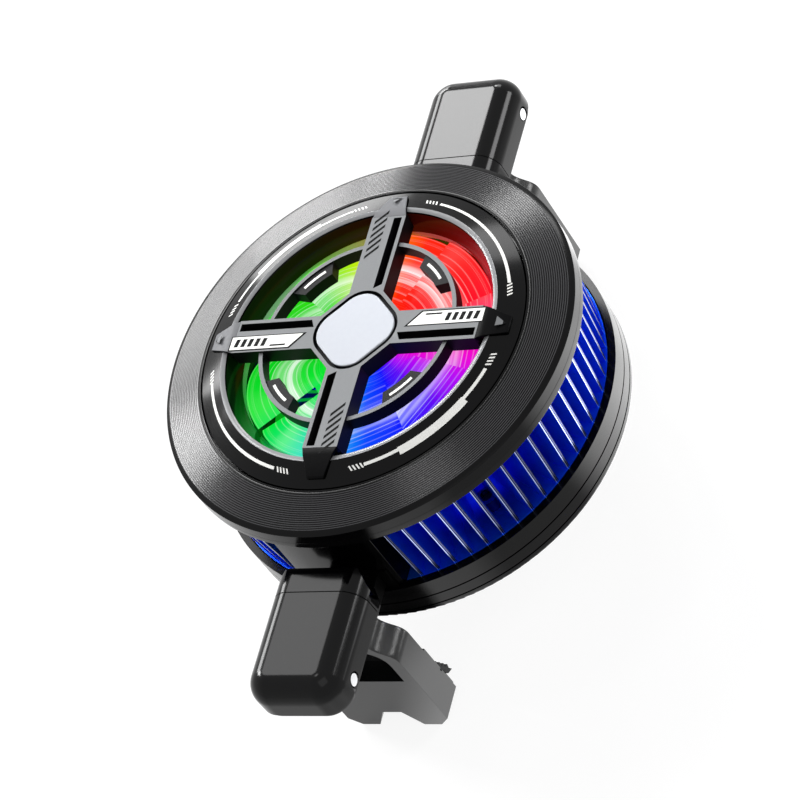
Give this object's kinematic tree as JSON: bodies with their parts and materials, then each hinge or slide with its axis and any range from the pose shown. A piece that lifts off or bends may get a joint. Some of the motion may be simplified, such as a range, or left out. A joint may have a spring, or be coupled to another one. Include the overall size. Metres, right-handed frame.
{
  "type": "phone cooling fan",
  "caption": "Round clip-on phone cooler: lit fan behind a cross grille, finned heat sink, cold plate and two sprung sliding jaws on opposite sides.",
  "frame": {"origin": "centre of the pad's flat face that touches the phone", "axes": "+Z out through the fan's front grille, +Y towards the upper sliding jaw, -Y towards the lower one, power socket on -X"},
  "size_m": [0.06, 0.1002, 0.0373],
  "materials": {
    "bezel_black": "black anodised, fine turned grooves, satin gloss",
    "trim_grey": "dark grey moulded plastic, fine satin, light lip, printed white arcs",
    "grille_grey": "grey painted moulding, dark sides",
    "grille_black": "black moulding",
    "badge_silver": "bright plated plate",
    "housing_black": "black moulded plastic, semi-gloss",
    "sink_blue": "saturated blue anodised, bright fin edges",
    "rear_black": "black moulded plastic, semi-gloss, thin grooves",
    "pad_grey": "soft grey heat pad",
    "plate_metal": "brushed plate",
    "ceramic_white": "white ceramic plates",
    "foam_black": "closed cell foam",
    "board_green": "circuit board, green varnish",
    "socket_steel": "drawn steel shell",
    "screw_steel": "plated steel",
    "guide_plastic": "black low friction plastic",
    "lamp_white": "lit lamps in changing colours",
    "light_clear": "clear frosted plastic",
    "wheel_clear": "frosted clear plastic, lit in a swirl of colours",
    "bearing_brass": "sintered bronze",
    "motor_steel": "stamped steel",
    "winding_copper": "enamelled copper wire",
    "magnet_dark": "sintered magnet",
    "clip_black": "black moulded plastic, gloss",
    "jaw_grey": "dark grey moulded plastic, satin",
    "grip_rubber": "toothed rubber",
    "pin_bright": "bright pin end"
  },
  "bodies": {
    "cooler": {"arm_guide": "guide_plastic", "badge_plate": "badge_silver", "bearing_sleeve": "bearing_brass", "bezel_ring": "bezel_black", "clamp_screws": "screw_steel", "cold_plate": "plate_metal", "contact_pad": "pad_grey", "control_board": "board_green", "fan_base": "guide_plastic", "fan_housing": "housing_black", "foam_ring": "foam_black", "grille": "grille_grey", "grille_ends": "grille_black", "heat_sink": "sink_blue", "lamp_board": "board_green", "lamps": "lamp_white", "light_ring": "light_clear", "lower_spring": "screw_steel", "peltier_module": "ceramic_white", "rear_housing": "rear_black", "stator_core": "motor_steel", "stator_windings": "winding_copper", "trim_ring": "trim_grey", "upper_spring": "screw_steel", "usb_socket": "socket_steel"},
    "rotor": {"impeller": "wheel_clear", "rotor_cup": "motor_steel", "rotor_magnet": "magnet_dark", "rotor_shaft": "screw_steel"},
    "upper_clip": {"upper_arm": "guide_plastic", "upper_cap": "clip_black", "upper_collar": "clip_black", "upper_cap_plate": "clip_black", "upper_cap_pin": "pin_bright", "upper_jaw": "jaw_grey", "upper_jaw_grip": "grip_rubber", "upper_jaw_screws": "screw_steel"},
    "lower_clip": {"lower_arm": "guide_plastic", "lower_cap": "clip_black", "lower_collar": "clip_black", "lower_cap_plate": "clip_black", "lower_cap_pin": "pin_bright", "lower_jaw": "jaw_grey", "lower_jaw_grip": "grip_rubber", "lower_jaw_screws": "screw_steel"}
  },
  "joints": [
    {"name": "fan_spin", "type": "hinge", "parent": "cooler", "child": "rotor", "pos_m": [0, 0, 0.015], "axis": [0, 0, 1], "continuous": true},
    {"name": "upper_slide", "type": "slide", "parent": "cooler", "child": "upper_clip", "axis": [0, 1, 0], "range_m": [0, 0.0105], "stiffness_N_per_m": 180, "springref_m": -0.008, "deforming": ["upper_spring"]},
    {"name": "lower_slide", "type": "slide", "parent": "cooler", "child": "lower_clip", "axis": [0, -1, 0], "range_m": [0, 0.0105], "stiffness_N_per_m": 180, "springref_m": -0.008, "deforming": ["lower_spring"]}
  ]
}
